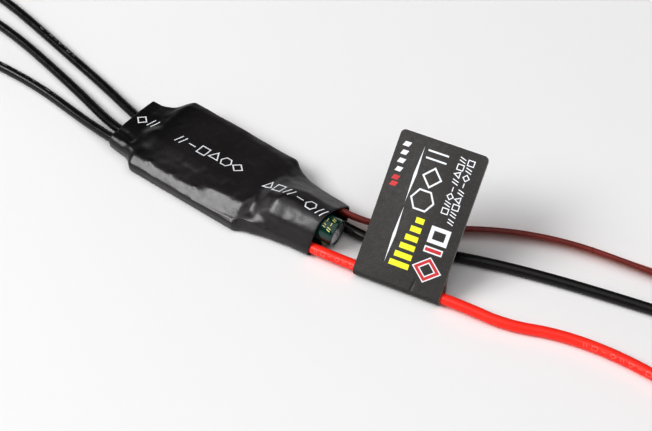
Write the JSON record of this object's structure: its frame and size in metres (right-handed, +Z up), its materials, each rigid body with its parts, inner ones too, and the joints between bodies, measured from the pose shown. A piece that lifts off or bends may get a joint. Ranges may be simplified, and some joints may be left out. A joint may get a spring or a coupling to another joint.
{
  "type": "electronic speed controller",
  "caption": "Brushless motor speed controller: circuit board in a black shrink sleeve, end capacitor, motor, battery and signal leads with connectors, folded card tag on one lead.",
  "frame": {"origin": "on the flat underside of the shrink sleeve, in the middle of the body from the sleeve's motor end to the capacitor's closed end", "axes": "+X from the motor leads to the battery and signal leads, along the body; +Z up from the underside through the printed top; +Y to the side of the black battery lead"},
  "size_m": [0.227, 0.0568, 0.0202],
  "materials": {
    "shrink_sleeve": null,
    "board": "green solder mask over glass fibre laminate",
    "chip": "black moulded epoxy package",
    "ceramic_part": "tan ceramic body with tinned ends",
    "tinned_metal": "tinned copper and solder",
    "can": "bare aluminium can with a scored vent",
    "capacitor_film": "dark green glossy vinyl film with small gold marks",
    "bung_rubber": "black rubber seal",
    "foil_roll": "wound foil and paper element",
    "lead_black": "black silicone insulation, satin",
    "lead_red": "red silicone insulation, satin",
    "strand_brown": "brown PVC insulation",
    "strand_red": "red PVC insulation",
    "strand_orange": "orange PVC insulation",
    "gold": "gold-plated brass",
    "connector_sleeve": "black shrink sleeve",
    "plug_plastic": "black moulded nylon",
    "tag_card": null
  },
  "bodies": {
    "controller": {"heat_shrink_sleeve": "shrink_sleeve", "circuit_board": "board", "high_side_mosfets": "chip", "low_side_mosfets": "chip", "microcontroller": "chip", "voltage_regulators": "chip", "ceramic_capacitors": "ceramic_part", "gate_drivers": "chip", "chip_resistors": "ceramic_part", "resonator": "ceramic_part", "capacitor_can": "can", "capacitor_bung": "bung_rubber", "capacitor_element": "foil_roll", "capacitor_vinyl_sleeve": "capacitor_film", "capacitor_wires": "tinned_metal", "lead_cores": "tinned_metal", "solder_joints": "tinned_metal", "tinned_end_positive": "tinned_metal", "tinned_end_negative": "tinned_metal", "bullet_solder": "tinned_metal", "plug_housing": "plug_plastic", "plug_contacts": "gold", "battery_lead_positive": "lead_red", "battery_lead_negative": "lead_black", "signal_lead_brown": "strand_brown", "signal_lead_red": "strand_red", "signal_lead_orange": "strand_orange", "motor_lead_a": "lead_black", "bullet_connector_a": "gold", "bullet_sleeve_a": "connector_sleeve", "motor_lead_b": "lead_black", "bullet_connector_b": "gold", "bullet_sleeve_b": "connector_sleeve", "motor_lead_c": "lead_black", "bullet_connector_c": "gold", "bullet_sleeve_c": "connector_sleeve"},
    "tag": {"label_tag": "tag_card"}
  },
  "joints": [
    {"name": "tag_swing", "type": "hinge", "parent": "controller", "child": "tag", "pos_m": [0.03898, -0.0013, 0.0015], "axis": [0.9803, 0.1977, 0], "range_deg": [-30, 135]}
  ]
}
